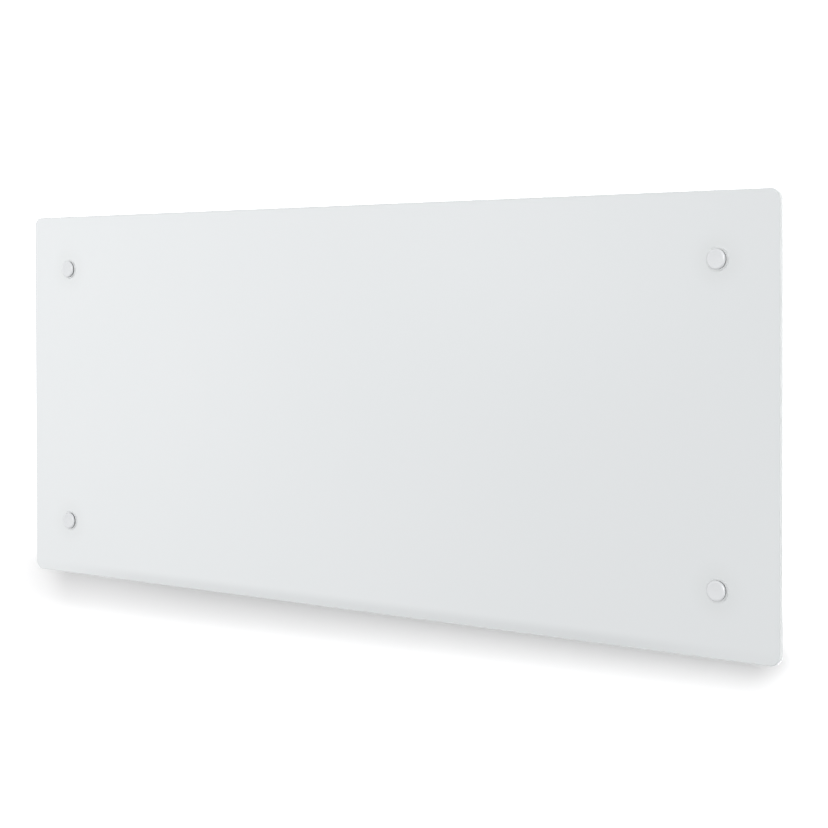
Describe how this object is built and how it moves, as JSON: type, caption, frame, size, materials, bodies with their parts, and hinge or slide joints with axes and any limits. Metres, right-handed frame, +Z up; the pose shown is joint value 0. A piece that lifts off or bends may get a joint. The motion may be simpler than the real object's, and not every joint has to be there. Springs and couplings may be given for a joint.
{
  "type": "electric panel heater",
  "caption": "Wall-hung convector heater: a wide glass front on round caps over a slim vented steel case, tipping forward on its wall bracket.",
  "frame": {"origin": "centre of the four wall screw holes, in the plane of the wall", "axes": "+Z up, +Y into the wall, +X to the right as seen from the room"},
  "size_m": [0.8, 0.0866, 0.34],
  "materials": {
    "white_glass": "polished, back-painted white",
    "cap_metal": "fine turned satin",
    "clear_bush": "translucent",
    "soft_seal": "matt",
    "zinc_steel": "zinc plated",
    "white_sheet": "fine textured powder coat",
    "element_aluminium": "extruded, matt",
    "sheath_steel": "heat tinted",
    "ceramic": "unglazed",
    "black_plastic": "moulded",
    "white_plastic": "moulded",
    "smoked_lens": "polished",
    "board": "solder mask",
    "shield_metal": "tinned",
    "transformer_yellow": "taped",
    "gland_plastic": "moulded",
    "cream_plastic": "moulded",
    "brass_tag": "bare",
    "sensor_epoxy": "dipped",
    "button_plastic": "moulded",
    "earth_insulation": "silicone",
    "live_insulation": "silicone",
    "neutral_insulation": "silicone",
    "heat_insulation": "glass braid",
    "sensor_insulation": "silicone",
    "bracket_zinc": "galvanised",
    "spring_steel": "bright"
  },
  "bodies": {
    "wall_bracket": {"bracket_left_upright": "bracket_zinc", "bracket_right_upright": "bracket_zinc", "bracket_lower_rail": "bracket_zinc", "bracket_upper_rail": "bracket_zinc", "latch_clips": "spring_steel", "clip_rivets": "zinc_steel"},
    "heater": {"glass_front": "white_glass", "glass_caps": "cap_metal", "glass_bushes": "clear_bush", "glass_gaskets": "soft_seal", "glass_spacers": "zinc_steel", "spacer_screws": "zinc_steel", "front_plate": "white_sheet", "rear_cover": "white_sheet", "left_end_panel": "white_sheet", "right_end_panel": "white_sheet", "case_screws": "zinc_steel", "outlet_slats": "white_sheet", "inlet_slats": "white_sheet", "grille_ribs": "white_sheet", "heating_profile": "element_aluminium", "heating_rod": "sheath_steel", "rod_insulators": "ceramic", "left_element_support": "zinc_steel", "right_element_support": "zinc_steel", "cutout_bracket": "zinc_steel", "thermal_cutout": "black_plastic", "control_housing": "white_plastic", "control_fascia": "white_plastic", "display_lens": "smoked_lens", "display_module": "black_plastic", "control_board": "board", "push_switches": "black_plastic", "wireless_module": "shield_metal", "relay": "black_plastic", "transformer": "transformer_yellow", "switch_body": "black_plastic", "cable_gland": "gland_plastic", "gland_nut": "gland_plastic", "terminal_block": "cream_plastic", "earth_tag": "brass_tag", "earth_screw": "brass_tag", "sensor_cage": "white_plastic", "room_sensor": "sensor_epoxy", "hanger_lugs": "zinc_steel", "hanger_pins": "zinc_steel", "latch_tongues": "zinc_steel", "rivets": "zinc_steel", "earth_wire": "earth_insulation", "live_wire": "live_insulation", "neutral_wire": "neutral_insulation", "switched_wire": "live_insulation", "element_wire": "heat_insulation", "cutout_wire": "heat_insulation", "link_wire": "heat_insulation", "sensor_wire": "sensor_insulation"},
    "rocker_body": {"rocker": "black_plastic"},
    "minus_body": {"minus_button": "button_plastic"},
    "plus_body": {"plus_button": "button_plastic"},
    "confirm_body": {"confirm_button": "button_plastic"}
  },
  "joints": [
    {"name": "tilt", "type": "hinge", "parent": "wall_bracket", "child": "heater", "pos_m": [0, -0.013, -0.11], "axis": [1, 0, 0], "range_deg": [0, 25]},
    {"name": "rocker_switch", "type": "hinge", "parent": "heater", "child": "rocker_body", "pos_m": [0.342, -0.0465, 0.045], "axis": [0, 1, 0], "range_deg": [-16, 0]},
    {"name": "minus_press", "type": "slide", "parent": "heater", "child": "minus_body", "axis": [0, 0, -1], "range_m": [0, 0.0006], "stiffness_N_per_m": 800, "springref_m": -0.0003},
    {"name": "plus_press", "type": "slide", "parent": "heater", "child": "plus_body", "axis": [0, 0, -1], "range_m": [0, 0.0006], "stiffness_N_per_m": 800, "springref_m": -0.0003},
    {"name": "confirm_press", "type": "slide", "parent": "heater", "child": "confirm_body", "axis": [0, 0, -1], "range_m": [0, 0.0006], "stiffness_N_per_m": 800, "springref_m": -0.0003}
  ]
}
